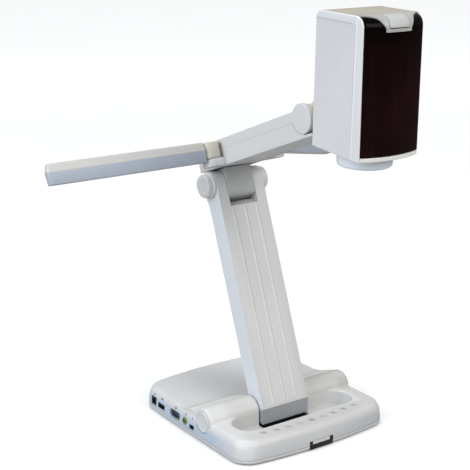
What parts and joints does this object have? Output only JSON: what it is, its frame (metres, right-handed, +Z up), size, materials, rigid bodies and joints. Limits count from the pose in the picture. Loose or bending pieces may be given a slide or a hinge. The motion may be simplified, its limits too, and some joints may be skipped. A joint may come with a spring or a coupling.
{
  "type": "document camera",
  "caption": "Desktop document camera: weighted base with control keys and connectors, two folding arms, swinging light bars and a tilting camera head.",
  "frame": {"origin": "middle of the base footprint, on the table plane under the feet", "axes": "+X to the user's right along the hinge axes, +Y to the rear, +Z up; keys and latch face -Y"},
  "size_m": [0.4957, 0.4029, 0.5224],
  "materials": {
    "shell": "satin off-white",
    "grey": "fine texture",
    "key": "satin",
    "rubber": "matte",
    "steel": "satin",
    "board": "solder mask",
    "black": "satin",
    "blue": "satin",
    "yellow": "satin",
    "beige": "satin",
    "diffuser": "frosted",
    "smoke": "glossy smoked",
    "cream": "satin",
    "glass": "clear coated"
  },
  "bodies": {
    "base": {"base_top_cover": "shell", "base_bottom_cover": "shell", "foot_rear_left": "rubber", "foot_rear_right": "rubber", "foot_front_left": "rubber", "foot_front_right": "rubber", "ballast_plate": "steel", "main_board": "board", "key_board": "board", "base_hinge_shaft": "steel", "hinge_cap_left": "shell", "hinge_cap_right": "shell", "dc_jack": "black", "hdmi_port": "black", "vga_connector": "steel", "vga_insert": "blue", "rca_jack": "yellow", "usb_port": "black", "latch_liner": "black"},
    "lower_arm": {"lower_arm_body": "shell", "lower_arm_back_cover": "shell", "elbow_shaft": "steel", "elbow_cap_left": "shell", "elbow_cap_right": "shell"},
    "upper_arm": {"elbow_knuckle": "grey", "upper_arm_bottom_shell": "shell", "upper_arm_top_shell": "shell", "head_shaft": "steel", "lamp_pin_left": "steel", "lamp_pin_right": "steel"},
    "lamp_left": {"lamp_left_hinge": "beige", "lamp_left_housing": "shell", "lamp_left_diffuser": "diffuser", "lamp_left_led_board": "board"},
    "lamp_right": {"lamp_right_hinge": "beige", "lamp_right_housing": "shell", "lamp_right_diffuser": "diffuser", "lamp_right_led_board": "board"},
    "head": {"head_knuckle": "beige", "head_back_panel": "shell", "head_shell_left": "shell", "head_shell_right": "shell", "head_front_panel": "smoke", "head_top_cover": "cream", "head_bottom_plate": "shell", "lens_ring": "shell", "lens_glass": "glass", "camera_block": "black"},
    "head_button": {"head_top_button": "cream"},
    "latch": {"latch_tab": "shell"},
    "key_1_body": {"key_1": "key"},
    "key_2_body": {"key_2": "key"},
    "key_3_body": {"key_3": "key"},
    "key_4_body": {"key_4": "key"},
    "key_5_body": {"key_5": "key"},
    "key_6_body": {"key_6": "key"},
    "key_7_body": {"key_7": "key"},
    "key_8_body": {"key_8": "key"},
    "key_9_body": {"key_9": "key"}
  },
  "joints": [
    {"name": "base_hinge", "type": "hinge", "parent": "base", "child": "lower_arm", "pos_m": [0, -0.03, 0.026], "axis": [1, 0, 0], "range_deg": [-50, 14]},
    {"name": "elbow_hinge", "type": "hinge", "parent": "lower_arm", "child": "upper_arm", "pos_m": [0, 0.06029, 0.29241], "axis": [1, 0, 0], "range_deg": [-70, 62]},
    {"name": "head_tilt", "type": "hinge", "parent": "upper_arm", "child": "head", "pos_m": [0, -0.12167, 0.40186], "axis": [1, 0, 0], "range_deg": [-90, 10]},
    {"name": "lamp_left_swing", "type": "hinge", "parent": "upper_arm", "child": "lamp_left", "pos_m": [-0.047, 0.02746, 0.30453], "axis": [0, 0.3461, 0.9382], "range_deg": [-35, 86]},
    {"name": "lamp_right_swing", "type": "hinge", "parent": "upper_arm", "child": "lamp_right", "pos_m": [0.047, 0.02746, 0.30453], "axis": [0, 0.3461, 0.9382], "range_deg": [-119, 2]},
    {"name": "head_button_press", "type": "slide", "parent": "head", "child": "head_button", "axis": [0, 0.7314, -0.682], "range_m": [0, 0.0004], "stiffness_N_per_m": 800},
    {"name": "latch_press", "type": "slide", "parent": "base", "child": "latch", "axis": [0, 1, 0], "range_m": [0, 0.0018], "stiffness_N_per_m": 400},
    {"name": "key_1_press", "type": "slide", "parent": "base", "child": "key_1_body", "axis": [0, 0, -1], "range_m": [0, 0.0008], "stiffness_N_per_m": 500},
    {"name": "key_2_press", "type": "slide", "parent": "base", "child": "key_2_body", "axis": [0, 0, -1], "range_m": [0, 0.0008], "stiffness_N_per_m": 500},
    {"name": "key_3_press", "type": "slide", "parent": "base", "child": "key_3_body", "axis": [0, 0, -1], "range_m": [0, 0.0008], "stiffness_N_per_m": 500},
    {"name": "key_4_press", "type": "slide", "parent": "base", "child": "key_4_body", "axis": [0, 0, -1], "range_m": [0, 0.0008], "stiffness_N_per_m": 500},
    {"name": "key_5_press", "type": "slide", "parent": "base", "child": "key_5_body", "axis": [0, 0, -1], "range_m": [0, 0.0008], "stiffness_N_per_m": 500},
    {"name": "key_6_press", "type": "slide", "parent": "base", "child": "key_6_body", "axis": [0, 0, -1], "range_m": [0, 0.0008], "stiffness_N_per_m": 500},
    {"name": "key_7_press", "type": "slide", "parent": "base", "child": "key_7_body", "axis": [0, 0, -1], "range_m": [0, 0.0008], "stiffness_N_per_m": 500},
    {"name": "key_8_press", "type": "slide", "parent": "base", "child": "key_8_body", "axis": [0, 0, -1], "range_m": [0, 0.0008], "stiffness_N_per_m": 500},
    {"name": "key_9_press", "type": "slide", "parent": "base", "child": "key_9_body", "axis": [0, 0, -1], "range_m": [0, 0.0008], "stiffness_N_per_m": 500}
  ]
}
